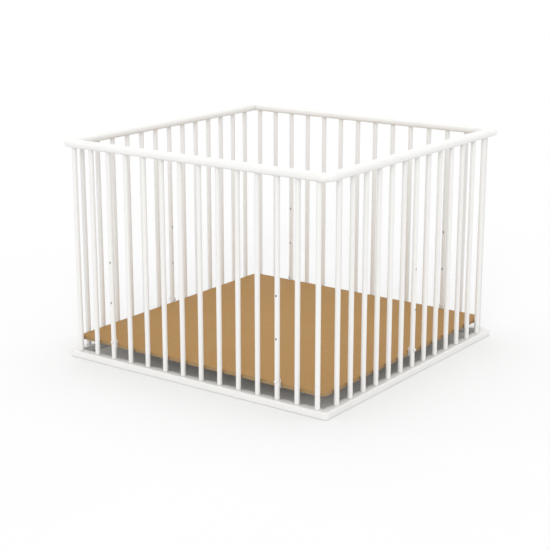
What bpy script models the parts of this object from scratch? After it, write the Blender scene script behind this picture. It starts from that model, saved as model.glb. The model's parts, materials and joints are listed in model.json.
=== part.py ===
"""Square playpen: four sides of round bars between rails, and a floor board that lifts to higher holes.

Metres, +Z up. The origin is on the ground under the middle of the pen, and the front side faces -Y.
Every side is drawn as the front side and turned into place, so -Y is "outward" in the functions below.
"""
import math

import bmesh
import bpy
from mathutils import Matrix, Vector

# ---------------------------------------------------------------- driving dimensions
OUTER_SIDE = 1.000          # outside of the top rails
HEIGHT = 0.700              # ground to the top of the top rails
GAP = 0.0003                # clearance between pieces that touch

BAR_PITCH = 0.070
BAR_RADIUS = 0.008
BARS_LONG = 14              # front and rear sides
BARS_SHORT = 13             # left and right sides
TENON_RADIUS = 0.005
TENON_LENGTH = 0.012
ROUND_STEPS = 12            # sides of every round piece
HALF_STEP = math.pi / ROUND_STEPS

TOP_WIDTH, TOP_THICKNESS, TOP_CORNER, TOP_EDGE = 0.040, 0.022, 0.028, 0.0095
BASE_WIDTH, BASE_HEIGHT, BASE_CORNER, BASE_EDGE = 0.030, 0.022, 0.009, 0.003
BAR_PLANE = (OUTER_SIDE - TOP_WIDTH) / 2
BASE_OUTER = BAR_PLANE + BASE_WIDTH / 2

LEVEL_LOWEST = 0.077        # lowest of the three bolt holes in a drilled bar
LEVEL_STEP = 0.128
LEVELS = 3
HOLE_RADIUS = 0.003
DRILLED_LONG = (3, 12)      # bar numbers, counted from 1
DRILLED_SHORT = (7,)

FLOOR_THICKNESS = 0.012
FLOOR_UNDERSIDE = 0.057
FLOOR_EDGE_GAP = 0.0015     # floor board to bar
FLOOR_CORNER = 0.025
NOTCH_WIDTH, NOTCH_DEPTH = 0.016, 0.007

BRACKET_SHEET = 0.0015
BRACKET_WIDTH = 0.012
BRACKET_REACH = 0.022       # foot under the floor board
BRACKET_TOP = LEVEL_LOWEST + 0.0065

BOLT_RADIUS = 0.0027
BOLT_HEAD_RADIUS = 0.005
BOLT_HEAD_HEIGHT = 0.0033
BOLT_TIP = 0.0035           # beyond the bracket

DOWEL_RADIUS = 0.004
TOP_DOWEL_LENGTH = 0.036
BASE_DOWEL_LENGTH = 0.026

SIDES = {"front": 0, "right": 90, "rear": 180, "left": 270}     # degrees, turned about +Z
CORNERS = {"front_right": 0, "rear_right": 90, "rear_left": 180, "front_left": 270}


# ---------------------------------------------------------------- scene and materials
def clear_scene():
    for old in list(bpy.data.objects):
        bpy.data.objects.remove(old, do_unlink=True)


def new_collection(name):
    group = bpy.data.collections.new(name)
    bpy.context.scene.collection.children.link(group)
    return group


def make_material(name, colour, roughness, metallic=0.0):
    material = bpy.data.materials.new(name)
    material.use_nodes = True
    shader = material.node_tree.nodes["Principled BSDF"]
    shader.inputs["Base Color"].default_value = (*colour, 1.0)
    shader.inputs["Roughness"].default_value = roughness
    shader.inputs["Metallic"].default_value = metallic
    return material


def add_object(name, mesh, material, angle=0.0, location=(0, 0, 0)):
    obj = bpy.data.objects.new(name, mesh)
    PARTS.objects.link(obj)
    obj.location = location
    obj.rotation_euler.z = math.radians(angle)
    if not mesh.materials:
        mesh.materials.append(material)
    return obj


def add_cutter(name, bm, angle=0.0):
    mesh = bpy.data.meshes.new(name)
    bm.to_mesh(mesh)
    bm.free()
    cutter = bpy.data.objects.new(name, mesh)
    CUTTERS.objects.link(cutter)
    cutter.rotation_euler.z = math.radians(angle)
    cutter.hide_render = True
    cutter.display_type = "WIRE"
    return cutter


def combine(obj, other, operation):
    modifier = obj.modifiers.new(operation.lower() + "_" + other.name, "BOOLEAN")
    modifier.operation = operation
    modifier.object = other
    modifier.solver = "EXACT"


# ---------------------------------------------------------------- places
def turned(angle, point):
    """A point given for the front side, on the side that is turned by angle degrees."""
    return Matrix.Rotation(math.radians(angle), 4, "Z") @ Vector(point)


def bar_places(count):
    """Distances along a side of its bars, counted from its left end seen from outside."""
    return [(index - (count - 1) / 2) * BAR_PITCH for index in range(count)]


def drilled_places(count):
    numbers = DRILLED_LONG if count == BARS_LONG else DRILLED_SHORT
    return [bar_places(count)[number - 1] for number in numbers]


def bar_count(side):
    return BARS_LONG if side in ("front", "rear") else BARS_SHORT


# ---------------------------------------------------------------- shapes
def turned_mesh(name, profile, steps=ROUND_STEPS):
    """A mesh turned about Z from (radius, height) points, top to bottom, with a flat side to the front."""
    outline = bpy.data.meshes.new(name + "_profile")
    edges = [(i, i + 1) for i in range(len(profile) - 1)]
    outline.from_pydata([(radius, 0, height) for radius, height in profile], edges, [])
    lathe = bpy.data.objects.new(name + "_profile", outline)
    bpy.context.scene.collection.objects.link(lathe)
    screw = lathe.modifiers.new("turn", "SCREW")
    screw.steps = steps
    screw.render_steps = steps
    screw.use_merge_vertices = True
    screw.merge_threshold = 0.00001
    mesh = bpy.data.meshes.new_from_object(lathe.evaluated_get(bpy.context.evaluated_depsgraph_get()))
    mesh.name = name
    mesh.transform(Matrix.Rotation(HALF_STEP, 4, "Z"))
    mesh.set_sharp_from_angle(angle=math.radians(40))
    bpy.data.objects.remove(lathe)
    return mesh


def add_rod(bm, centre, axis, radius, length, phase=0.0):
    """A closed cylinder in bm, along axis; phase turns its sides about it."""
    turn = Vector((0, 0, 1)).rotation_difference(Vector(axis)).to_matrix().to_4x4()
    turn = turn @ Matrix.Rotation(phase, 4, "Z")
    bmesh.ops.create_cone(bm, cap_ends=True, segments=ROUND_STEPS, radius1=radius, radius2=radius,
                          depth=length, matrix=Matrix.Translation(centre) @ turn)


def add_box(bm, low, high):
    low, high = Vector(low), Vector(high)
    size = high - low
    bmesh.ops.create_cube(bm, size=1.0, matrix=Matrix.Translation((low + high) / 2)
                          @ Matrix.Diagonal((*size, 1.0)))


def upright_edges(bm, keep):
    return [edge for edge in bm.edges
            if abs(edge.verts[0].co.z - edge.verts[1].co.z) > 0.001 and keep(edge.verts[0].co)]


def rim_edges(bm):
    """Edges around the flat top and the flat bottom."""
    return [edge for edge in bm.edges
            if len({round(face.normal.z) for face in edge.link_faces}) == 2]


def rail_mesh(name, outer, width, low, height, corner, edge_round):
    """A front rail: its outer corners and long edges rounded, its ends mitred at 45 degrees."""
    bm = bmesh.new()
    add_box(bm, (-outer, -outer, low), (outer, -outer + width, low + height))
    bmesh.ops.bevel(bm, geom=upright_edges(bm, lambda co: co.y < -outer + width / 2),
                    offset=corner, segments=6, profile=0.5, affect="EDGES")
    bm.normal_update()
    bmesh.ops.bevel(bm, geom=rim_edges(bm), offset=edge_round, segments=2, profile=0.5, affect="EDGES")
    for direction in (-1, 1):
        mitre = Vector((direction, 1, 0)).normalized()
        geometry = bm.verts[:] + bm.edges[:] + bm.faces[:]
        bmesh.ops.bisect_plane(bm, geom=geometry, dist=0.000001, plane_co=mitre * -GAP / 2,
                               plane_no=mitre, clear_outer=True)
        open_edges = [edge for edge in bm.edges if edge.is_boundary]
        bmesh.ops.holes_fill(bm, edges=open_edges, sides=0)
    bmesh.ops.recalc_face_normals(bm, faces=bm.faces[:])
    mesh = bpy.data.meshes.new(name)
    bm.to_mesh(mesh)
    bm.free()
    return mesh


def bar_profile(bottom):
    """A bar with a tenon on its top, and on its bottom too when it stands on a rail."""
    shoulder = HEIGHT - TOP_THICKNESS - GAP
    profile = [(0, shoulder + TENON_LENGTH), (TENON_RADIUS, shoulder + TENON_LENGTH),
               (TENON_RADIUS, shoulder), (BAR_RADIUS, shoulder), (BAR_RADIUS, bottom)]
    if bottom > BASE_HEIGHT:
        profile += [(TENON_RADIUS, bottom), (TENON_RADIUS, bottom - TENON_LENGTH)]
    return profile + [(0, profile[-1][1])]


# ---------------------------------------------------------------- cutters
def socket_cutter(side, name, low, high):
    """Blind holes for the bars' tenons."""
    bm = bmesh.new()
    for along in bar_places(bar_count(side)):
        add_rod(bm, (along, -BAR_PLANE, (low + high) / 2), (0, 0, 1), TENON_RADIUS + GAP, high - low,
                HALF_STEP)
    return add_cutter(name, bm, SIDES[side])


def level_cutter(side):
    """Three holes through every drilled bar of a side, and through the brackets on it."""
    bm = bmesh.new()
    for along in drilled_places(bar_count(side)):
        for level in range(LEVELS):
            height = LEVEL_LOWEST + level * LEVEL_STEP
            add_rod(bm, (along, -BAR_PLANE, height), (0, 1, 0), HOLE_RADIUS, 4 * BAR_RADIUS)
    return add_cutter("level_holes_" + side, bm, SIDES[side])


def dowel_cutter(name, height, length):
    """Blind holes for the dowels across the four mitres of a frame."""
    bm = bmesh.new()
    for angle in CORNERS.values():
        add_rod(bm, turned(angle, (BAR_PLANE, -BAR_PLANE, height)), turned(angle, (1, 1, 0)),
                DOWEL_RADIUS + GAP, length + 0.001, HALF_STEP)
    return add_cutter(name, bm)


# ---------------------------------------------------------------- pieces
def make_top_rails():
    mesh = rail_mesh("top_rail", OUTER_SIDE / 2, TOP_WIDTH, HEIGHT - TOP_THICKNESS, TOP_THICKNESS,
                     TOP_CORNER, TOP_EDGE)
    dowels = dowel_cutter("top_dowel_holes", HEIGHT - TOP_THICKNESS / 2, TOP_DOWEL_LENGTH)
    underside = HEIGHT - TOP_THICKNESS
    for side, angle in SIDES.items():
        rail = add_object(side + "_top_rail", mesh, WHITE, angle)
        sockets = socket_cutter(side, side + "_top_sockets", underside - 0.01, underside + TENON_LENGTH)
        combine(rail, sockets, "DIFFERENCE")
        combine(rail, dowels, "DIFFERENCE")


def make_bottom_rails():
    """The front and rear rails have sockets; the left and right rails are one piece with their bars."""
    mesh = rail_mesh("bottom_rail", BASE_OUTER, BASE_WIDTH, 0.0, BASE_HEIGHT, BASE_CORNER, BASE_EDGE)
    dowels = dowel_cutter("bottom_dowel_holes", BASE_HEIGHT / 2, BASE_DOWEL_LENGTH)
    for side in ("front", "rear"):
        rail = add_object(side + "_bottom_rail", mesh, WHITE, SIDES[side])
        sockets = socket_cutter(side, side + "_bottom_sockets", BASE_HEIGHT - TENON_LENGTH,
                                BASE_HEIGHT + 0.01)
        combine(rail, sockets, "DIFFERENCE")
        combine(rail, dowels, "DIFFERENCE")
    glued_bar = turned_mesh("glued_bar", bar_profile(BASE_HEIGHT - TENON_LENGTH))
    for side in ("left", "right"):
        rail = add_object(side + "_bottom_rail_and_bars", mesh, WHITE, SIDES[side])
        combine(rail, bar_row(side, glued_bar), "UNION")
        combine(rail, LEVEL_CUTTERS[side], "DIFFERENCE")
        combine(rail, dowels, "DIFFERENCE")


def bar_row(side, bar_mesh):
    """All the bars of one side in one mesh, to be joined to its rail."""
    row = bmesh.new()
    for along in bar_places(bar_count(side)):
        first = len(row.verts)
        row.from_mesh(bar_mesh)
        row.verts.ensure_lookup_table()
        bmesh.ops.translate(row, verts=row.verts[first:], vec=(along, -BAR_PLANE, 0))
    return add_cutter(side + "_bar_row", row, SIDES[side])


def make_separate_bars():
    mesh = turned_mesh("bar", bar_profile(BASE_HEIGHT + GAP))
    mesh.materials.append(WHITE)
    for side in ("front", "rear"):
        for number, along in enumerate(bar_places(BARS_LONG), 1):
            place = turned(SIDES[side], (along, -BAR_PLANE, 0))
            bar = add_object(f"{side}_bar_{number:02d}", mesh, WHITE, SIDES[side], place)
            if number in DRILLED_LONG:
                combine(bar, LEVEL_CUTTERS[side], "DIFFERENCE")


def make_dowels():
    for frame, height, length in (("top", HEIGHT - TOP_THICKNESS / 2, TOP_DOWEL_LENGTH),
                                  ("bottom", BASE_HEIGHT / 2, BASE_DOWEL_LENGTH)):
        half, chamfer = length / 2, 0.001
        mesh = turned_mesh(frame + "_dowel", [
            (0, half), (DOWEL_RADIUS - chamfer, half), (DOWEL_RADIUS, half - chamfer),
            (DOWEL_RADIUS, chamfer - half), (DOWEL_RADIUS - chamfer, -half), (0, -half)])
        mesh.materials.append(BEECH)
        for corner, angle in CORNERS.items():
            place = turned(angle, (BAR_PLANE, -BAR_PLANE, height))
            dowel = add_object(f"{frame}_dowel_{corner}", mesh, BEECH, 0.0, place)
            dowel.rotation_mode = "QUATERNION"
            dowel.rotation_quaternion = Vector((0, 0, 1)).rotation_difference(turned(angle, (1, 1, 0)))


def support_places():
    """Name, side angle and distance along the side of each of the six floor supports."""
    for side, angle in SIDES.items():
        places = drilled_places(bar_count(side))
        for along, end in zip(places, ("_left", "_right") if len(places) == 2 else ("",)):
            yield side + end, side, angle, along


def make_floor_board():
    half = BAR_PLANE - BAR_RADIUS - FLOOR_EDGE_GAP
    bm = bmesh.new()
    add_box(bm, (-half, -half, FLOOR_UNDERSIDE), (half, half, FLOOR_UNDERSIDE + FLOOR_THICKNESS))
    bmesh.ops.bevel(bm, geom=upright_edges(bm, lambda co: True), offset=FLOOR_CORNER, segments=5,
                    profile=0.5, affect="EDGES")
    mesh = bpy.data.meshes.new("floor_board")
    bm.to_mesh(mesh)
    bm.free()
    board = add_object("floor_board", mesh, HARDBOARD)
    notches = bmesh.new()
    for _name, _side, angle, along in support_places():
        first = len(notches.verts)
        add_box(notches, (along - NOTCH_WIDTH / 2, -half - 0.01, FLOOR_UNDERSIDE - 0.01),
                (along + NOTCH_WIDTH / 2, -half + NOTCH_DEPTH, FLOOR_UNDERSIDE + FLOOR_THICKNESS + 0.01))
        notches.verts.ensure_lookup_table()
        bmesh.ops.rotate(notches, verts=notches.verts[first:], cent=(0, 0, 0),
                         matrix=Matrix.Rotation(math.radians(angle), 3, "Z"))
    combine(board, add_cutter("floor_notches", notches), "DIFFERENCE")


def make_brackets():
    """Sheet-steel angles: a leg behind the bar, and a foot that carries the floor board."""
    back = -BAR_PLANE + BAR_RADIUS + GAP
    foot = FLOOR_UNDERSIDE - GAP - BRACKET_SHEET
    half = BRACKET_WIDTH / 2
    for name, side, angle, along in support_places():
        rows = [(back, BRACKET_TOP), (back, foot), (back + BRACKET_REACH, foot)]
        points = [(along + end * half, y, z) for y, z in rows for end in (-1, 1)]
        mesh = bpy.data.meshes.new("support_bracket_" + name)
        mesh.from_pydata(points, [], [(1, 0, 2, 3), (3, 2, 4, 5)])
        bracket = add_object("support_bracket_" + name, mesh, WHITE_STEEL, angle)
        sheet = bracket.modifiers.new("sheet", "SOLIDIFY")
        sheet.thickness = BRACKET_SHEET
        sheet.offset = -1.0
        sheet.use_even_offset = True
        combine(bracket, LEVEL_CUTTERS[side], "DIFFERENCE")


def make_bolts():
    """Dome-headed bolts from outside, through the bar and into the bracket."""
    neck = BAR_RADIUS + GAP
    tip = -BAR_RADIUS - GAP - BRACKET_SHEET - BOLT_TIP
    mesh = turned_mesh("support_bolt", [
        (0, neck + BOLT_HEAD_HEIGHT), (0.6 * BOLT_HEAD_RADIUS, neck + 0.85 * BOLT_HEAD_HEIGHT),
        (BOLT_HEAD_RADIUS, neck + 0.4 * BOLT_HEAD_HEIGHT), (BOLT_HEAD_RADIUS, neck),
        (BOLT_RADIUS, neck), (BOLT_RADIUS, tip), (0, tip)])
    mesh.materials.append(ZINC)
    for name, _side, angle, along in support_places():
        bolt = add_object("support_bolt_" + name, mesh, ZINC, 0.0,
                          turned(angle, (along, -BAR_PLANE, LEVEL_LOWEST)))
        bolt.rotation_mode = "QUATERNION"
        bolt.rotation_quaternion = Vector((0, 0, 1)).rotation_difference(turned(angle, (0, -1, 0)))


clear_scene()
PARTS = new_collection("playpen")
CUTTERS = new_collection("playpen_cutters")
WHITE = make_material("white lacquered wood", (0.86, 0.86, 0.84), 0.32)
BEECH = make_material("beech", (0.62, 0.42, 0.25), 0.6)
HARDBOARD = make_material("tan hardboard", (0.45, 0.27, 0.11), 0.5)
WHITE_STEEL = make_material("white painted steel", (0.86, 0.86, 0.84), 0.4)
ZINC = make_material("zinc plated steel", (0.72, 0.72, 0.72), 0.35, 1.0)
LEVEL_CUTTERS = {side: level_cutter(side) for side in SIDES}

make_top_rails()
make_bottom_rails()
make_separate_bars()
make_dowels()
make_floor_board()
make_brackets()
make_bolts()
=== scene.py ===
"""Barred play pen: white lacquered rails and turned bars round a floor board that lifts."""

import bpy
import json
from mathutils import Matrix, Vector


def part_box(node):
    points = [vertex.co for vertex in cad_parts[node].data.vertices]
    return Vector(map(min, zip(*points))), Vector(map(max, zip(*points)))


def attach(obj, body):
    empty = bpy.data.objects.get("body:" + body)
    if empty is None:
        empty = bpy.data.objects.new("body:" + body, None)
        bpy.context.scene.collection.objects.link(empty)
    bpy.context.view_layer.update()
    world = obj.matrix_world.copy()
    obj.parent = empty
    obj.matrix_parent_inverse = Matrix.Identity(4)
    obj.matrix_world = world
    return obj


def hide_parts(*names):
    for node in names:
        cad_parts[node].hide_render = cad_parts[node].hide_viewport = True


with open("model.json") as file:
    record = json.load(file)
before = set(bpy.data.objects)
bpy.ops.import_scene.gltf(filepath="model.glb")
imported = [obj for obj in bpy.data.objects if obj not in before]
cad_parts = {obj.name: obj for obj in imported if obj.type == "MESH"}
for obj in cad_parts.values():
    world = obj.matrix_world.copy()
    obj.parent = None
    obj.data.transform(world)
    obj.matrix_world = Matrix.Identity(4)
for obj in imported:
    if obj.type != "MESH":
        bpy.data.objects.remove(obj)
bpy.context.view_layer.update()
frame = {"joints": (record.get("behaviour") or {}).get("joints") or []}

import json
import math

import bmesh
import bpy
from bpy.props import FloatProperty, FloatVectorProperty, IntProperty, PointerProperty
from mathutils import Matrix, Vector

bl_info = {
    "name": "Barred Play Pen",
    "version": (1, 0, 0),
    "blender": (4, 5, 0),
    "location": "View3D > Sidebar > Play Pen",
    "description": "Build a white barred play pen with a floor board on three levels",
    "category": "Add Mesh",
}

# Each side is the front side turned about the upright middle line, in degrees.
SIDES = {"front": 0, "right": 90, "rear": 180, "left": 270}
CORNERS = {"front_right": 0, "rear_right": 90, "rear_left": 180, "front_left": 270}
SUPPORTS = ("front_left", "front_right", "right", "rear_left", "rear_right", "left")
# The right and left sides are one CAD solid each: bottom rail and bars together.
COMBS = {side: side + "_bottom_rail_and_bars" for side in ("right", "left")}
LEVELS = 3
MITRE = Vector((1.0, 1.0, 0.0)).normalized()


def box_middle(node):
    """Middle of a CAD node's box."""
    low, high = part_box(node)
    return (low + high) / 2


def unturned(point, degrees):
    """A place on any side, turned back to the front side."""
    return Matrix.Rotation(-math.radians(degrees), 3, "Z") @ point


BAR_PITCH = box_middle("front_bar_02").x - box_middle("front_bar_01").x
BAR_PLANE = box_middle("front_bar_01").y
LONG_ROW, SHORT_ROW = 14, 13
LOWEST_LEVEL = box_middle("support_bolt_front_left").z
LEVEL_STEP = frame["joints"][0]["range_m"][1] / (LEVELS - 1)
BAR_RADIUS = (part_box("front_bar_01")[1].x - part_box("front_bar_01")[0].x) / 2
BOARD_LOW, BOARD_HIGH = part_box("floor_board")
# Room between a bar or bolt head and what it sits against, and at the end of a pin.
SEAT_GAP = 0.0003
# How far a cutter runs past the piece that it cuts.
PAST = 0.001


def bar_places(count):
    """Places of a side's bars along it."""
    return [(number - (count - 1) / 2) * BAR_PITCH for number in range(count)]


def length_value(title, note, default):
    """A length that a user may change."""
    return FloatProperty(name=title, description=note, default=default, unit="LENGTH",
                         precision=5, min=0.0)


def colour_value(title, note, default):
    """A colour that a user may change."""
    return FloatVectorProperty(name=title, description=note, default=default, subtype="COLOR",
                               size=3, min=0.0, max=1.0)


class PenSizes(bpy.types.PropertyGroup):
    """Sizes of the rounded edges, joints and fittings."""

    bar_faces: IntProperty(name="Bar faces", description="Number of faces round a bar",
                           default=32, min=12, max=96)
    bar_shoulder: length_value("Bar shoulder", "Rounding of a bar's shoulders", 0.0009)
    tenon_radius: length_value("Tenon radius", "Radius of the pins at a bar's ends", 0.005)
    pin_arris: length_value("Pin arris", "Softened edge at the end of a pin", 0.0006)
    clearance: length_value("Clearance", "Space left round a pin or dowel", 0.0002)
    top_corner: length_value("Top corner", "Outside corner radius of the top rails", 0.028)
    top_edge: length_value("Top edge", "Edge radius of the top rails", 0.0095)
    base_corner: length_value("Bottom corner", "Outside corner radius of the bottom rails",
                              0.009)
    base_edge: length_value("Bottom edge", "Edge radius of the bottom rails", 0.003)
    joint_gap: length_value("Joint gap", "Hairline between two mitred rails", 0.00012)
    joint_arris: length_value("Joint arris", "Softened edge at a mitre", 0.0002)
    hole_radius: length_value("Hole radius", "Radius of the level holes in a bar", 0.003)
    hole_rim: length_value("Hole rim", "Countersink round a level hole", 0.0008)
    board_corner: length_value("Board corner", "Corner radius of the floor board", 0.025)
    board_edge: length_value("Board edge", "Eased edge of the floor board", 0.0011)
    notch_width: length_value("Notch width", "Width of a notch in the board's edge", 0.016)
    notch_depth: length_value("Notch depth", "Depth of a notch in the board's edge", 0.007)
    notch_corner: length_value("Notch corner", "Inside corner radius of a notch", 0.002)
    sheet: length_value("Bracket sheet", "Thickness of a bracket's steel", 0.0015)
    sheet_arris: length_value("Sheet arris", "Softened edge of a bracket's steel", 0.0002)
    bend: length_value("Bracket bend", "Inside radius of a bracket's bend", 0.0008)
    bracket_corner: length_value("Bracket corner", "Corner radius of a bracket", 0.003)
    bolt_radius: length_value("Bolt radius", "Radius of a bolt's shank", 0.0027)
    dome: length_value("Bolt dome", "Rounding of a bolt's head", 0.0024)
    key_radius: length_value("Key radius", "Radius of the six sided socket", 0.0019)
    key_depth: length_value("Key depth", "Depth of the six sided socket", 0.0017)
    dowel_flute: length_value("Dowel flute", "Depth of a dowel's grooves", 0.0004)
    dowel_end: length_value("Dowel end", "Eased end of a dowel", 0.0008)


class PenColours(bpy.types.PropertyGroup):
    """Colours of the finishes."""

    lacquer: colour_value("Lacquer", "White lacquer", (0.725, 0.72, 0.705))
    lacquer_thin: colour_value("Thin lacquer", "Lacquer where it is thinnest",
                               (0.675, 0.66, 0.625))
    board: colour_value("Board", "Face of the floor board", (0.375, 0.207, 0.058))
    board_fibre: colour_value("Board fibre", "Darker fibres of the board",
                              (0.29, 0.146, 0.031))
    board_core: colour_value("Board core", "Sawn edge of the board", (0.30, 0.212, 0.113))
    paint: colour_value("Paint", "White powder coat of the brackets", (0.70, 0.697, 0.685))
    board_back: colour_value("Board back", "Paler underside of the board",
                             (0.68, 0.62, 0.54))
    steel: colour_value("Steel", "Zinc plated steel", (0.80, 0.80, 0.79))
    steel_pale: colour_value("Pale steel", "Lighter flakes of the zinc", (0.90, 0.90, 0.89))
    beech: colour_value("Beech", "Bare beech", (0.60, 0.40, 0.24))
    beech_fleck: colour_value("Beech fleck", "Darker flecks of the beech", (0.38, 0.22, 0.12))
    # Painted shade: the walls of the level holes get a darker grey with darker flecks, which
    # paint the shade inside the holes.
    hole_wall_painted_shade: colour_value("Hole wall", "Thinly sprayed wall of a level hole",
                            (0.50, 0.49, 0.47))
    hole_shade: colour_value("Hole shade", "Wood showing through in a level hole",
                             (0.36, 0.345, 0.325))
    ground: colour_value("Ground", "Studio floor", (0.765, 0.765, 0.765))


# Working by hand: one object at a time, everything else deselected.


def put_down():
    """Leave edit mode and deselect everything."""
    if bpy.context.object and bpy.context.object.mode != "OBJECT":
        bpy.ops.object.mode_set(mode="OBJECT")
    bpy.ops.object.select_all(action="DESELECT")


def pick_up(*pieces):
    """Select pieces; the last is the active one."""
    put_down()
    for piece in pieces:
        piece.select_set(True)
    bpy.context.view_layer.objects.active = pieces[-1]


def edit(piece):
    """Open a piece in edit mode."""
    pick_up(piece)
    bpy.ops.object.mode_set(mode="EDIT")


def select(kind, wanted):
    """Select the vertices, edges or faces of the open piece that the test wants."""
    bpy.ops.mesh.select_mode(type=kind)
    bpy.ops.mesh.select_all(action="DESELECT")
    data = bpy.context.object.data
    mesh = bmesh.from_edit_mesh(data)
    mesh.normal_update()
    chosen = {"VERT": mesh.verts, "EDGE": mesh.edges, "FACE": mesh.faces}[kind]
    for element in chosen:
        if wanted(element):
            element.select_set(True)
    mesh.select_flush_mode()
    bmesh.update_edit_mesh(data)


def all_at(element, axis, place, within=1e-5):
    """True if all of an element's vertices are at one place along an axis."""
    return all(abs(vertex.co[axis] - place) < within for vertex in element.verts)


def upright(edge, least=1e-3):
    """True if an edge runs up and down."""
    return abs(edge.verts[0].co.z - edge.verts[1].co.z) > least


def at_ends(edge, reach, within=1e-5):
    """True if both ends of an edge are as far out to the right or left as the piece goes."""
    return all(abs(vertex.co.x) > reach - within for vertex in edge.verts)


def named(piece, name):
    """Name a piece and its mesh."""
    piece.name = piece.data.name = name
    return piece


def add_block(name, low, high):
    """A cube made to fill a box."""
    put_down()
    bpy.ops.mesh.primitive_cube_add(size=1.0, location=(low + high) / 2)
    block = bpy.context.object
    block.scale = high - low
    bpy.ops.object.transform_apply(location=True, rotation=True, scale=True)
    return named(block, name)


def add_rod(name, faces, radius, start, end):
    """A cylinder between two places."""
    put_down()
    along = end - start
    turn = Vector((0, 0, 1)).rotation_difference(along)
    bpy.ops.mesh.primitive_cylinder_add(vertices=faces, radius=radius, depth=along.length,
                                        location=(start + end) / 2, rotation=turn.to_euler())
    bpy.ops.object.transform_apply(location=True, rotation=True, scale=True)
    return named(bpy.context.object, name)


def copied(piece, name, degrees=0.0, shift=(0.0, 0.0, 0.0)):
    """A copy with its own mesh, shifted along the front side, then turned to its own side."""
    pick_up(piece)
    bpy.ops.object.duplicate(linked=False)
    copy = bpy.context.object
    copy.location = shift
    bpy.ops.object.transform_apply(location=True, rotation=False, scale=False)
    copy.rotation_euler.z = math.radians(degrees)
    bpy.ops.object.transform_apply(location=False, rotation=True, scale=False)
    return named(copy, name)


def joined(pieces):
    """Several pieces as one."""
    pick_up(*pieces)
    bpy.ops.object.join()
    return bpy.context.object


def cut(piece, cutter):
    """Cut one shape out of another, and throw the cutter away."""
    pick_up(piece)
    bpy.ops.object.modifier_add(type="BOOLEAN")
    modifier = piece.modifiers[-1]
    modifier.operation, modifier.solver, modifier.object = "DIFFERENCE", "MANIFOLD", cutter
    bpy.ops.object.modifier_apply(modifier=modifier.name)
    thrown_away(cutter)


def thrown_away(*pieces):
    """Delete helpers."""
    pick_up(*pieces)
    bpy.ops.object.delete()


def smooth(piece, degrees=32.0):
    """Shade the round parts smooth and keep the flats flat."""
    pick_up(piece)
    bpy.ops.object.shade_smooth_by_angle(angle=math.radians(degrees))
    bpy.ops.object.modifier_add(type="WEIGHTED_NORMAL")
    modifier = piece.modifiers[-1]
    modifier.keep_sharp = True
    bpy.ops.object.modifier_apply(modifier=modifier.name)


def finished(piece, material, slot, body, *nodes):
    """Give a piece its finish, its body and the CAD nodes that it stands for."""
    if not any(piece.data.materials):
        piece.data.materials.clear()
        piece.data.materials.append(material)
    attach(piece, body)
    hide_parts(*nodes)
    put_down()


# Finishes.


def add_node(tree, kind, settings=None, **inputs):
    """A shader node; each input is a value or another node's output."""
    made = tree.nodes.new("ShaderNode" + kind)
    for key, value in (settings or {}).items():
        setattr(made, key, value)
    for key, value in inputs.items():
        socket = made.inputs[key.replace("_", " ")]
        if isinstance(value, bpy.types.NodeSocket):
            tree.links.new(value, socket)
        else:
            socket.default_value = value
    return made


def noise(tree, place, size, detail=3.0, roughness=0.5):
    """Smooth random pattern, from 0 to 1."""
    return add_node(tree, "TexNoise", Vector=place, Scale=size, Detail=detail,
                    Roughness=roughness).outputs["Fac"]


def ranged(tree, value, old_low, old_high, new_low, new_high):
    """Stretch a value from one range to another."""
    return add_node(tree, "MapRange", Value=value, From_Min=old_low, From_Max=old_high,
                    To_Min=new_low, To_Max=new_high).outputs["Result"]


def mixed(tree, share, first, second):
    """Mix two colours."""
    made = tree.nodes.new("ShaderNodeMix")
    made.data_type = "RGBA"
    for socket, value in ((made.inputs[0], share), (made.inputs[6], first),
                          (made.inputs[7], second)):
        if isinstance(value, bpy.types.NodeSocket):
            tree.links.new(value, socket)
        elif isinstance(value, float):
            socket.default_value = value
        else:
            socket.default_value = (*value, 1.0)
    return made.outputs[2]


def maths(tree, operation, *values):
    """Sum, product or other operation on values."""
    made = add_node(tree, "Math", {"operation": operation})
    for socket, value in zip(made.inputs, values):
        if isinstance(value, bpy.types.NodeSocket):
            tree.links.new(value, socket)
        else:
            socket.default_value = value
    return made.outputs["Value"]


def times(tree, first, second):
    """Multiply two values."""
    return maths(tree, "MULTIPLY", first, second)


def bumped(tree, height, depth, under=None):
    """Raise a surface by a height pattern."""
    made = add_node(tree, "Bump", Height=height, Distance=depth, Strength=1.0)
    if under:
        tree.links.new(under, made.inputs["Normal"])
    return made.outputs["Normal"]


def start_material(name):
    """A new material: its tree, its surface shader and its place."""
    material = bpy.data.materials.new(name)
    material.use_nodes = True
    tree = material.node_tree
    tree.nodes.clear()
    surface = add_node(tree, "BsdfPrincipled")
    output = add_node(tree, "OutputMaterial")
    tree.links.new(surface.outputs["BSDF"], output.inputs["Surface"])
    place = add_node(tree, "TexCoord").outputs["Object"]
    return material, tree, surface, place


def stretched(tree, place, axis, ratio):
    """The place, drawn out along one axis, for a grain."""
    scale = [1.0, 1.0, 1.0]
    scale[axis] = ratio
    return add_node(tree, "Mapping", Vector=place, Scale=scale).outputs["Vector"]


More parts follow.
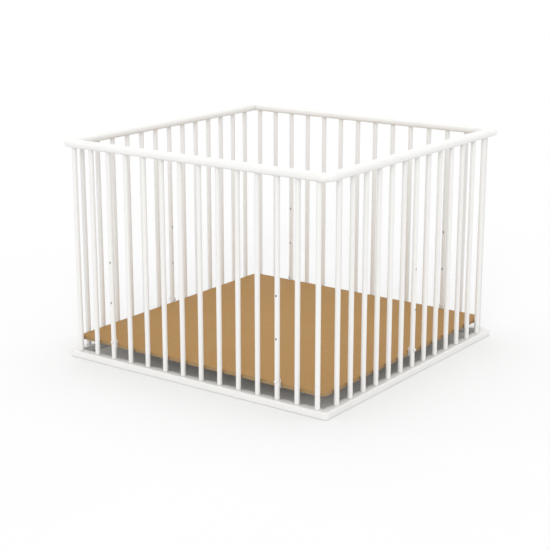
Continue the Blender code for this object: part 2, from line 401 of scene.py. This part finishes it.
def lacquer_material(name, axis):
    """Satin white lacquer on beech, with the grain just showing along an axis."""
    colours = bpy.context.scene.pen_colours
    material, tree, surface, place = start_material(name)
    along = stretched(tree, place, axis, 0.04)
    grain = noise(tree, along, 900.0, 4.0, 0.6)
    streaks = noise(tree, along, 160.0, 2.0)
    cloud = noise(tree, place, 7.0, 2.0)
    peel = noise(tree, place, 1100.0, 1.0)
    thin = times(tree, ranged(tree, streaks, 0.45, 0.75, 0.0, 1.0),
                 ranged(tree, cloud, 0.35, 0.7, 0.1, 0.45))
    colour = mixed(tree, thin, colours.lacquer, colours.lacquer_thin)
    tree.links.new(colour, surface.inputs["Base Color"])
    tree.links.new(ranged(tree, grain, 0.3, 0.7, 0.36, 0.48), surface.inputs["Roughness"])
    surface.inputs["IOR"].default_value = 1.5
    surface.inputs["Coat Weight"].default_value = 0.25
    surface.inputs["Coat Roughness"].default_value = 0.22
    relief = bumped(tree, grain, 0.00006, bumped(tree, peel, 0.00002))
    tree.links.new(relief, surface.inputs["Normal"])
    return material


def board_material():
    """Tan pressed board: felted fibres on the faces, a paler sawn core at the edges."""
    colours = bpy.context.scene.pen_colours
    material, tree, surface, place = start_material("tan hardboard")
    cross = noise(tree, stretched(tree, place, 0, 0.25), 900.0, 4.0, 0.65)
    length = noise(tree, stretched(tree, place, 1, 0.12), 700.0, 4.0, 0.65)
    cloud = noise(tree, place, 9.0, 3.0, 0.6)
    streak = noise(tree, stretched(tree, place, 1, 0.10), 55.0, 2.0)
    fibres = times(tree, ranged(tree, length, 0.35, 0.7, 0.0, 1.0),
                   ranged(tree, cross, 0.3, 0.7, 0.35, 1.0))
    face = mixed(tree, fibres, colours.board, colours.board_fibre)
    face = mixed(tree, ranged(tree, cloud, 0.3, 0.7, 0.0, 0.22), face, colours.board_fibre)
    face = mixed(tree, ranged(tree, streak, 0.4, 0.65, 0.0, 0.16), face, colours.board_core)
    layers = noise(tree, stretched(tree, place, 2, 9.0), 160.0, 3.0, 0.6)
    core = mixed(tree, ranged(tree, layers, 0.3, 0.7, 0.0, 0.55), colours.board_core,
                 colours.board_fibre)
    facing = add_node(tree, "SeparateXYZ",
                      Vector=add_node(tree, "NewGeometry").outputs["Normal"]).outputs["Z"]
    flat = ranged(tree, maths(tree, "ABSOLUTE", facing), 0.35, 0.6, 0.0, 1.0)
    back = mixed(tree, times(tree, fibres, 0.5), colours.board_back, colours.board_core)
    face = mixed(tree, ranged(tree, facing, -0.2, 0.2, 0.0, 1.0), back, face)
    tree.links.new(mixed(tree, flat, core, face), surface.inputs["Base Color"])
    tree.links.new(ranged(tree, length, 0.3, 0.7, 0.50, 0.66), surface.inputs["Roughness"])
    surface.inputs["Specular IOR Level"].default_value = 0.2
    relief = bumped(tree, fibres, 0.00008, bumped(tree, cloud, 0.0006))
    tree.links.new(relief, surface.inputs["Normal"])
    return material


def powder_material():
    """White powder coat: a fine orange peel and a soft gloss."""
    colours = bpy.context.scene.pen_colours
    material, tree, surface, place = start_material("white powder coat")
    peel = noise(tree, place, 900.0, 2.0, 0.6)
    speck = ranged(tree, noise(tree, place, 2600.0, 1.0), 0.55, 0.8, 0.0, 0.5)
    tree.links.new(mixed(tree, speck, colours.paint, colours.lacquer_thin),
                   surface.inputs["Base Color"])
    tree.links.new(ranged(tree, peel, 0.3, 0.7, 0.34, 0.5), surface.inputs["Roughness"])
    tree.links.new(bumped(tree, peel, 0.00005), surface.inputs["Normal"])
    return material


def steel_material():
    """Zinc plated steel with a faint flaky shine."""
    colours = bpy.context.scene.pen_colours
    material, tree, surface, place = start_material("zinc plated steel")
    flakes = add_node(tree, "TexVoronoi", Vector=place, Scale=900.0).outputs["Color"]
    flake = add_node(tree, "SeparateXYZ", Vector=flakes).outputs["X"]
    rub = noise(tree, stretched(tree, place, 2, 0.1), 2500.0, 2.0)
    tree.links.new(mixed(tree, flake, colours.steel, colours.steel_pale),
                   surface.inputs["Base Color"])
    tree.links.new(ranged(tree, rub, 0.3, 0.7, 0.24, 0.42), surface.inputs["Roughness"])
    surface.inputs["Metallic"].default_value = 1.0
    tree.links.new(bumped(tree, rub, 0.00002), surface.inputs["Normal"])
    return material


def beech_material(name, plain, flecked):
    """Beech: straight grain and short dark flecks."""
    material, tree, surface, place = start_material(name)
    grain = noise(tree, stretched(tree, place, 2, 0.5), 500.0, 4.0, 0.6)
    fleck = noise(tree, place, 1800.0, 1.0)
    share = times(tree, ranged(tree, fleck, 0.5, 0.75, 0.0, 0.8),
                  ranged(tree, grain, 0.3, 0.7, 0.3, 1.0))
    tree.links.new(mixed(tree, share, plain, flecked), surface.inputs["Base Color"])
    tree.links.new(ranged(tree, grain, 0.3, 0.7, 0.5, 0.7), surface.inputs["Roughness"])
    tree.links.new(bumped(tree, grain, 0.00008), surface.inputs["Normal"])
    return material


def ground_material():
    """Matt pale studio floor."""
    colours = bpy.context.scene.pen_colours
    material, tree, surface, place = start_material("studio floor")
    tint = ranged(tree, noise(tree, place, 1.5, 2.0), 0.0, 1.0, 0.0, 0.02)
    tree.links.new(mixed(tree, tint, colours.ground, (0.0, 0.0, 0.0)),
                   surface.inputs["Base Color"])
    surface.inputs["Roughness"].default_value = 0.9
    surface.inputs["Specular IOR Level"].default_value = 0.1
    return material


# Rails.


def ease(wanted, radius, steps):
    """Bevel the wanted edges of the open piece."""
    select("EDGE", wanted)
    bpy.ops.mesh.bevel(offset_type="OFFSET", offset=radius, segments=steps, affect="EDGES")


def trim_mitre(direction, gap):
    """Saw off the open rail's end along its mitre."""
    bpy.ops.mesh.select_all(action="SELECT")
    bpy.ops.mesh.bisect(plane_co=-direction * gap / 2, plane_no=direction, use_fill=True,
                        clear_outer=True)


def shape_rail(name, low, high, corner, edge):
    """The front rail of a mitred frame: rounded outside corners, eased edges, sawn ends."""
    sizes = bpy.context.scene.pen_sizes
    rail = add_block(name, low, high)
    edit(rail)
    ease(lambda e: all_at(e, 1, low.y) and upright(e), corner, 12)
    ease(lambda e: all_at(e, 2, low.z) or all_at(e, 2, high.z), edge, 6)
    for end in (-1, 1):
        mitre = Vector((end * MITRE.x, MITRE.y, 0.0))
        trim_mitre(mitre, sizes.joint_gap)
        select("FACE", lambda f: f.normal.dot(mitre) > 0.999)
        bpy.ops.mesh.region_to_loop()
        bpy.ops.mesh.bevel(offset_type="OFFSET", offset=sizes.joint_arris, segments=2,
                           affect="EDGES")
    put_down()
    return rail


def bar_row(name, count, radius, bottom, top):
    """A row of rods at a side's bar places, for cutting sockets."""
    rod = add_rod(name, 24, radius, Vector((bar_places(count)[0], BAR_PLANE, bottom)),
                  Vector((bar_places(count)[0], BAR_PLANE, top)))
    pick_up(rod)
    bpy.ops.object.modifier_add(type="ARRAY")
    row = rod.modifiers[-1]
    row.count, row.use_relative_offset, row.use_constant_offset = count, False, True
    row.constant_offset_displace = (BAR_PITCH, 0.0, 0.0)
    bpy.ops.object.modifier_apply(modifier=row.name)
    return rod


def cut_joints(rail, count, mouth, depth, dowel):
    """Bore a rail for its bars' pins and for half of each corner dowel."""
    sizes = bpy.context.scene.pen_sizes
    low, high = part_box(dowel)
    middle, radius = (low + high) / 2, (high.z - low.z) / 2
    reach = (Vector((high.x, high.y, 0)) - Vector((low.x, low.y, 0))).length / 2
    cutters = [bar_row("sockets", count, sizes.tenon_radius + sizes.clearance,
                       *sorted((mouth - math.copysign(PAST, depth), mouth + depth)))]
    for end in (-1, 1):
        along = Vector((end * MITRE.x, MITRE.y, 0.0))
        centre = Vector((end * abs(middle.x), -abs(middle.y), middle.z))
        cutters.append(add_rod("dowel_hole", 24, radius + sizes.clearance,
                               centre - along * reach, centre + along * reach))
    cut(rail, joined(cutters))


def pin_depth():
    """How far a bar's pin goes into a rail, with room at its end."""
    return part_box("front_bar_01")[1].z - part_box("front_top_rail")[0].z + SEAT_GAP


class AddTopRails(bpy.types.Operator):
    """Add the four mitred top rails, bored for the bars and the corner dowels"""

    bl_idname = "playpen.add_top_rails"
    bl_label = "Top Rails"
    bl_options = {"REGISTER", "UNDO"}

    def execute(self, context):
        sizes = context.scene.pen_sizes
        low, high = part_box("front_top_rail")
        model = shape_rail("top_rail_model", low, high, sizes.top_corner, sizes.top_edge)
        finishes = [lacquer_material("white lacquer, rails left to right", 0),
                    lacquer_material("white lacquer, rails front to back", 1)]
        for side, degrees in SIDES.items():
            blank = copied(model, "top_rail_blank")
            cut_joints(blank, SHORT_ROW if side in COMBS else LONG_ROW, low.z, pin_depth(),
                       "top_dowel_front_right")
            smooth(blank)
            rail = copied(blank, "rounded_top_rail_" + side, degrees)
            thrown_away(blank)
            finished(rail, finishes[side in COMBS], "white_lacquer", "frame",
                     side + "_top_rail")
        thrown_away(model)
        return {"FINISHED"}


class AddBottomRails(bpy.types.Operator):
    """Add the four mitred bottom rails, bored for the bars and the corner dowels"""

    bl_idname = "playpen.add_bottom_rails"
    bl_label = "Bottom Rails"
    bl_options = {"REGISTER", "UNDO"}

    def execute(self, context):
        sizes = context.scene.pen_sizes
        low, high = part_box("front_bottom_rail")
        model = shape_rail("bottom_rail_model", low, high, sizes.base_corner, sizes.base_edge)
        finishes = [lacquer_material("white lacquer, base left to right", 0),
                    lacquer_material("white lacquer, base front to back", 1)]
        for side, degrees in SIDES.items():
            blank = copied(model, "bottom_rail_blank")
            cut_joints(blank, SHORT_ROW if side in COMBS else LONG_ROW, high.z, -pin_depth(),
                       "bottom_dowel_front_right")
            smooth(blank)
            rail = copied(blank, "square_bottom_rail_" + side, degrees)
            thrown_away(blank)
            finished(rail, finishes[side in COMBS], "white_lacquer", "frame",
                     COMBS.get(side, side + "_bottom_rail"))
        thrown_away(model)
        return {"FINISHED"}


# Bars.


def shape_bar():
    """A turned bar at the middle of the front side: round shoulders, and a pin at each end."""
    sizes = bpy.context.scene.pen_sizes
    low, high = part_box("front_bar_01")
    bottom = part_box("front_bottom_rail")[1].z + SEAT_GAP
    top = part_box("front_top_rail")[0].z - SEAT_GAP
    bar = add_rod("bar_model", sizes.bar_faces, BAR_RADIUS, Vector((0, BAR_PLANE, bottom)),
                  Vector((0, BAR_PLANE, top)))
    edit(bar)
    ease(lambda e: all_at(e, 2, bottom) or all_at(e, 2, top), sizes.bar_shoulder, 3)
    for end, length in ((bottom, low.z - bottom), (top, high.z - top)):
        select("FACE", lambda f: all_at(f, 2, end))
        bpy.ops.mesh.inset(thickness=BAR_RADIUS - sizes.bar_shoulder - sizes.tenon_radius)
        bpy.ops.mesh.extrude_region_move(TRANSFORM_OT_translate={"value": (0, 0, length)})
        ease(lambda e: all_at(e, 2, end + length), sizes.pin_arris, 2)
    put_down()
    return bar


def drill_levels(bar):
    """Drill the three level holes through a bar, each with a small countersink outside."""
    sizes = bpy.context.scene.pen_sizes
    reach = BAR_RADIUS + PAST
    mouth = math.sqrt(BAR_RADIUS ** 2 - sizes.hole_radius ** 2)
    drills = []
    for level in range(LEVELS):
        height = LOWEST_LEVEL + level * LEVEL_STEP
        drill = add_rod("drill", 20, sizes.hole_radius, Vector((0, BAR_PLANE - reach, height)),
                        Vector((0, BAR_PLANE + reach, height)))
        edit(drill)
        for end in (-1, 1):
            select("FACE", lambda f: all_at(f, 1, BAR_PLANE + end * reach))
            inward = -end * (reach - mouth + sizes.hole_rim)
            bpy.ops.transform.translate(value=(0, inward, 0))
            bpy.ops.mesh.extrude_region_move(TRANSFORM_OT_translate={"value": (0, -inward, 0)})
            spread = 1 + (reach - mouth + sizes.hole_rim) / sizes.hole_radius
            bpy.ops.transform.resize(value=(spread, 1, spread), center_override=(
                0, BAR_PLANE + end * reach, height))
        put_down()
        drills.append(drill)
    cut(bar, joined(drills))


def paint_hole_shade(bar, finish, hole_shade_paint):
    """Lacquer a drilled bar, and give the walls of its holes a darker grey finish that paints
    the shade inside them.
    """
    sizes = bpy.context.scene.pen_sizes
    inside = 0.94 * BAR_RADIUS
    lowest = LOWEST_LEVEL - 2 * sizes.hole_radius
    highest = LOWEST_LEVEL + (LEVELS - 1) * LEVEL_STEP + 2 * sizes.hole_radius
    bar.data.materials.clear()
    bar.data.materials.append(finish)
    bar.data.materials.append(hole_shade_paint)
    bar.active_material_index = 1
    edit(bar)

    def in_hole(face):
        middle = face.calc_center_median()
        return (math.hypot(middle.x, middle.y - BAR_PLANE) < inside
                and abs(face.normal.z) + abs(face.normal.x) > 0.5
                and lowest < middle.z < highest)

    # The hole walls take the second material, the painted shade of the holes.
    select("FACE", in_hole)
    bpy.ops.object.material_slot_assign()
    put_down()


class AddBars(bpy.types.Operator):
    """Add the 54 turned bars; six of them are drilled at the three levels"""

    bl_idname = "playpen.add_bars"
    bl_label = "Bars"
    bl_options = {"REGISTER", "UNDO"}

    def execute(self, context):
        colours = context.scene.pen_colours
        finish = lacquer_material("white lacquer, bars", 2)
        # Painted shade: a darker grey on the walls of the level holes stands in for the shade
        # inside them.
        hole_shade_paint = beech_material("painted hole shade", colours.hole_wall_painted_shade, colours.hole_shade)
        plain = shape_bar()
        drilled = copied(plain, "drilled_bar_model")
        drill_levels(drilled)
        paint_hole_shade(drilled, finish, hole_shade_paint)
        smooth(plain)
        smooth(drilled)
        drilled_at = {
            side: {round(unturned(box_middle("support_bolt_" + support), degrees).x, 3)
                   for support in SUPPORTS if support.startswith(side)}
            for side, degrees in SIDES.items()}
        for side, degrees in SIDES.items():
            places = bar_places(SHORT_ROW if side in COMBS else LONG_ROW)
            for number, along in enumerate(places, 1):
                model = drilled if round(along, 3) in drilled_at[side] else plain
                bar = copied(model, f"turned_bar_{side}_{number:02d}", degrees,
                             (along, 0.0, 0.0))
                finished(bar, finish, "white_lacquer", "frame",
                         COMBS.get(side, f"{side}_bar_{number:02d}"))
        thrown_away(plain, drilled)
        return {"FINISHED"}


# Floor board and its fittings.


class AddFloorBoard(bpy.types.Operator):
    """Add the floor board, notched round its six supports"""

    bl_idname = "playpen.add_floor_board"
    bl_label = "Floor Board"
    bl_options = {"REGISTER", "UNDO"}

    def execute(self, context):
        sizes = context.scene.pen_sizes
        board = add_block("notched_floor_board", BOARD_LOW, BOARD_HIGH)
        edit(board)
        ease(upright, sizes.board_corner, 10)
        put_down()
        cutters = []
        for support in SUPPORTS:
            side = support.split("_")[0]
            along = unturned(box_middle("support_bracket_" + support), SIDES[side]).x
            half = sizes.notch_width / 2
            block = add_block(
                "notch", Vector((along - half, BOARD_LOW.y - PAST, BOARD_LOW.z - PAST)),
                Vector((along + half, BOARD_LOW.y + sizes.notch_depth, BOARD_HIGH.z + PAST)))
            edit(block)
            ease(lambda e: all_at(e, 1, BOARD_LOW.y + sizes.notch_depth) and upright(e),
                 sizes.notch_corner, 4)
            put_down()
            cutters.append(copied(block, "turned_notch", SIDES[side]))
            thrown_away(block)
        cut(board, joined(cutters))
        edit(board)
        ease(lambda e: all_at(e, 2, BOARD_LOW.z) or all_at(e, 2, BOARD_HIGH.z),
             sizes.board_edge, 3)
        put_down()
        smooth(board)
        finished(board, board_material(), "hardboard", "floor", "floor_board")
        return {"FINISHED"}


class AddBrackets(bpy.types.Operator):
    """Add the six bent steel angles that carry the floor board"""

    bl_idname = "playpen.add_brackets"
    bl_label = "Brackets"
    bl_options = {"REGISTER", "UNDO"}

    def execute(self, context):
        sizes = context.scene.pen_sizes
        node = "support_bracket_front_left"
        low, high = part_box(node)
        middle = Vector((box_middle(node).x, 0, 0))
        low, high = low - middle, high - middle
        bracket = add_block("bracket_model", low,
                            Vector((high.x, low.y + sizes.sheet, high.z)))
        edit(bracket)
        bpy.ops.mesh.select_all(action="SELECT")
        bpy.ops.mesh.bisect(plane_co=(0, 0, low.z + sizes.sheet), plane_no=(0, 0, 1))
        select("FACE", lambda f: f.normal.y > 0.99
               and f.calc_center_median().z < low.z + sizes.sheet)
        bpy.ops.mesh.extrude_region_move(TRANSFORM_OT_translate={
            "value": (0, high.y - low.y - sizes.sheet, 0)})
        ease(lambda e: all_at(e, 1, low.y + sizes.sheet) and all_at(e, 2, low.z + sizes.sheet),
             sizes.bend, 4)
        ease(lambda e: all_at(e, 1, low.y) and all_at(e, 2, low.z), sizes.bend + sizes.sheet, 6)
        ease(lambda e: (all_at(e, 2, high.z) or all_at(e, 1, high.y))
             and at_ends(e, high.x), sizes.bracket_corner, 5)
        put_down()
        cut(bracket, add_rod("bolt_hole", 24, sizes.hole_radius,
                             Vector((0, low.y - PAST, LOWEST_LEVEL)),
                             Vector((0, low.y + sizes.sheet + PAST, LOWEST_LEVEL))))
        edit(bracket)
        select("FACE", lambda f: True)
        bpy.ops.mesh.edges_select_sharp(sharpness=math.radians(60))
        bpy.ops.mesh.bevel(offset_type="OFFSET", offset=sizes.sheet_arris, segments=2,
                           affect="EDGES")
        put_down()
        smooth(bracket, 40.0)
        finish = powder_material()
        for support in SUPPORTS:
            degrees = SIDES[support.split("_")[0]]
            along = unturned(box_middle("support_bracket_" + support), degrees).x
            piece = copied(bracket, "bent_bracket_" + support, degrees, (along, 0, 0))
            finished(piece, finish, "white_steel", "frame", "support_bracket_" + support)
        thrown_away(bracket)
        return {"FINISHED"}


# A bolt's threaded end: number of threads, half a thread's length, and root to crest.
THREADS, THREAD_STEP, THREAD_ROOT = 12, 0.0004, 0.87


class AddBolts(bpy.types.Operator):
    """Add the six dome headed bolts with a six sided socket and a threaded end"""

    bl_idname = "playpen.add_bolts"
    bl_label = "Bolts"
    bl_options = {"REGISTER", "UNDO"}

    def execute(self, context):
        sizes = context.scene.pen_sizes
        node = "support_bolt_front_left"
        low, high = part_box(node)
        radius = (high.x - low.x) / 2
        neck = BAR_PLANE - BAR_RADIUS - SEAT_GAP
        start, seat = Vector((0, low.y, LOWEST_LEVEL)), Vector((0, neck, LOWEST_LEVEL))
        bolt = add_rod("bolt_model", 36, radius, start, seat)
        edit(bolt)
        ease(lambda e: all_at(e, 1, low.y), sizes.dome, 6)
        select("FACE", lambda f: all_at(f, 1, neck))
        bpy.ops.mesh.inset(thickness=radius - sizes.bolt_radius)
        plain = high.y - neck - 2 * THREAD_STEP * THREADS
        bpy.ops.mesh.extrude_region_move(TRANSFORM_OT_translate={"value": (0, plain, 0)})
        for step in range(2 * THREADS):
            bpy.ops.mesh.extrude_region_move(TRANSFORM_OT_translate={
                "value": (0, THREAD_STEP, 0)})
            narrow = THREAD_ROOT if step % 2 == 0 else 1 / THREAD_ROOT
            bpy.ops.transform.resize(value=(narrow, 1, narrow), center_override=(
                0, neck, LOWEST_LEVEL))
        put_down()
        cut(bolt, add_rod("socket", 6, sizes.key_radius,
                          Vector((0, low.y - PAST, LOWEST_LEVEL)),
                          Vector((0, low.y + sizes.key_depth, LOWEST_LEVEL))))
        smooth(bolt, 35.0)
        finish = steel_material()
        for support in SUPPORTS:
            degrees = SIDES[support.split("_")[0]]
            along = unturned(box_middle("support_bolt_" + support), degrees).x
            piece = copied(bolt, "dome_bolt_" + support, degrees, (along, 0, 0))
            finished(piece, finish, "zinc_steel", "frame", "support_bolt_" + support)
        thrown_away(bolt)
        return {"FINISHED"}


FLUTES = 8


class AddDowels(bpy.types.Operator):
    """Add the eight fluted dowels that hold the mitred corners"""

    bl_idname = "playpen.add_dowels"
    bl_label = "Corner Dowels"
    bl_options = {"REGISTER", "UNDO"}

    def execute(self, context):
        sizes = context.scene.pen_sizes
        colours = context.scene.pen_colours
        finish = beech_material("bare beech", colours.beech, colours.beech_fleck)
        for frame_name in ("top", "bottom"):
            node = frame_name + "_dowel_front_right"
            low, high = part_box(node)
            middle, radius = (low + high) / 2, (high.z - low.z) / 2
            along = Vector((MITRE.x, -MITRE.y, 0.0))
            across = Vector((MITRE.x, MITRE.y, 0.0))
            spread = Vector((high.x - low.x, high.y - low.y, 0)).length
            half = (spread - 2 * radius) / 2
            dowel = add_rod("dowel_model", 24, radius, middle - across * half,
                            middle + across * half)
            edit(dowel)
            ease(lambda e: abs(abs((e.verts[0].co - middle).dot(across)) - half) < 1e-5
                 and abs(abs((e.verts[1].co - middle).dot(across)) - half) < 1e-5,
                 sizes.dowel_end, 2)
            select("FACE", lambda f: abs(f.normal.dot(across)) < 0.01
                   and math.sin(FLUTES * math.atan2(f.normal.z, f.normal.dot(along))) > 0.5)
            bpy.ops.mesh.inset(thickness=sizes.dowel_flute / 2, depth=-sizes.dowel_flute,
                               use_individual=True)
            put_down()
            smooth(dowel, 30.0)
            for corner, degrees in CORNERS.items():
                piece = copied(dowel, f"fluted_{frame_name}_dowel_{corner}", degrees)
                finished(piece, finish, "beech", "frame", f"{frame_name}_dowel_{corner}")
            thrown_away(dowel)
        return {"FINISHED"}


# Stage.

# The camera's azimuth and elevation are in degrees.
CAMERA_PLACE = Vector((2.52033, -3.53372, 1.40928))
CAMERA_ANGLES = (35.932, 15.102)
CAMERA_LENS = 90.831
FLOOR_RADIUS = 60.0
# Strength of the sky at the horizon, what it gains overhead, and the low band's share.
SKY, SKY_RISE, SKY_BAND = 0.78, 0.14, 0.5
# Each soft light: azimuth, elevation and spread in degrees, and strength.
SOFT_LIGHTS = {"front light": (32.0, 25.0, 35.0, 0.9),
               "overhead light": (215.0, 76.0, 45.0, 0.8)}


def towards(azimuth, elevation):
    """Direction in which a thing at this azimuth and elevation in degrees looks inwards."""
    azimuth, elevation = math.radians(azimuth), math.radians(elevation)
    return Vector((-math.sin(azimuth) * math.cos(elevation),
                   math.cos(azimuth) * math.cos(elevation), -math.sin(elevation)))


def aimed(thing, name, direction):
    """Name a light or camera and turn it to look along a direction."""
    thing.name = thing.data.name = name
    thing.rotation_mode = "QUATERNION"
    thing.rotation_quaternion = direction.to_track_quat("-Z", "Y")
    return thing.data


def sky_strength(tree):
    """White all round, brighter overhead, with a band of soft lights low above the floor."""
    height = add_node(tree, "SeparateXYZ", Vector=add_node(
        tree, "TexCoord").outputs["Generated"]).outputs["Z"]
    band = times(tree, ranged(tree, height, 0.0, 0.12, 0.2, SKY_BAND),
                 ranged(tree, height, 0.34, 0.46, 1.0, 0.0))
    return maths(tree, "ADD", ranged(tree, height, 0.0, 1.0, SKY, SKY + SKY_RISE), band)


class SetStage(bpy.types.Operator):
    """Set the pale floor, the soft studio light and the camera"""

    bl_idname = "playpen.set_stage"
    bl_label = "Stage"
    bl_options = {"REGISTER", "UNDO"}

    def execute(self, context):
        scene = context.scene
        put_down()
        bpy.ops.mesh.primitive_circle_add(vertices=96, radius=FLOOR_RADIUS,
                                          fill_type="NGON")
        ground = named(context.object, "studio_ground")
        ground.data.materials.append(ground_material())
        sky = bpy.data.worlds.new("white studio")
        sky.use_nodes = True
        glow = sky.node_tree.nodes["Background"]
        glow.inputs["Color"].default_value = (1.0, 1.0, 1.0, 1.0)
        sky.node_tree.links.new(sky_strength(sky.node_tree), glow.inputs["Strength"])
        scene.world = sky
        for name, (azimuth, elevation, spread, strength) in SOFT_LIGHTS.items():
            put_down()
            bpy.ops.object.light_add(type="SUN", location=(0.0, 0.0, 3.0))
            light = aimed(context.object, name, towards(azimuth, elevation))
            light.energy, light.angle = strength, math.radians(spread)
        put_down()
        bpy.ops.object.camera_add(location=CAMERA_PLACE)
        scene.camera = context.object
        lens = aimed(scene.camera, "studio camera", towards(*CAMERA_ANGLES))
        lens.lens, lens.sensor_width = CAMERA_LENS, 36.0
        lens.clip_start, lens.clip_end = 0.1, 200.0
        scene.view_settings.view_transform = "Standard"
        put_down()
        return {"FINISHED"}


class PlayPenPanel(bpy.types.Panel):
    """The play pen's pieces, in the order of making"""

    bl_idname = "VIEW3D_PT_play_pen"
    bl_label = "Play Pen"
    bl_space_type = "VIEW_3D"
    bl_region_type = "UI"
    bl_category = "Play Pen"

    def draw(self, context):
        column = self.layout.column()
        for operator in MAKING_ORDER:
            column.operator(operator.bl_idname)
        for group in (context.scene.pen_sizes, context.scene.pen_colours):
            for key in group.__annotations__:
                column.prop(group, key)


MAKING_ORDER = (AddTopRails, AddBottomRails, AddBars, AddFloorBoard, AddBrackets, AddBolts,
                AddDowels, SetStage)
CLASSES = (PenSizes, PenColours, *MAKING_ORDER, PlayPenPanel)


def register():
    """Register the classes and hang the sizes and colours on the scene."""
    for each in CLASSES:
        bpy.utils.register_class(each)
    bpy.types.Scene.pen_sizes = PointerProperty(type=PenSizes)
    bpy.types.Scene.pen_colours = PointerProperty(type=PenColours)


def unregister():
    """Undo register."""
    del bpy.types.Scene.pen_colours
    del bpy.types.Scene.pen_sizes
    for each in reversed(CLASSES):
        bpy.utils.unregister_class(each)


def main():
    register()
    bpy.ops.playpen.add_top_rails()
    bpy.ops.playpen.add_bottom_rails()
    bpy.ops.playpen.add_bars()
    bpy.ops.playpen.add_floor_board()
    bpy.ops.playpen.add_brackets()
    bpy.ops.playpen.add_bolts()
    bpy.ops.playpen.add_dowels()
    bpy.ops.playpen.set_stage()


if __name__ == "__main__":
    main()
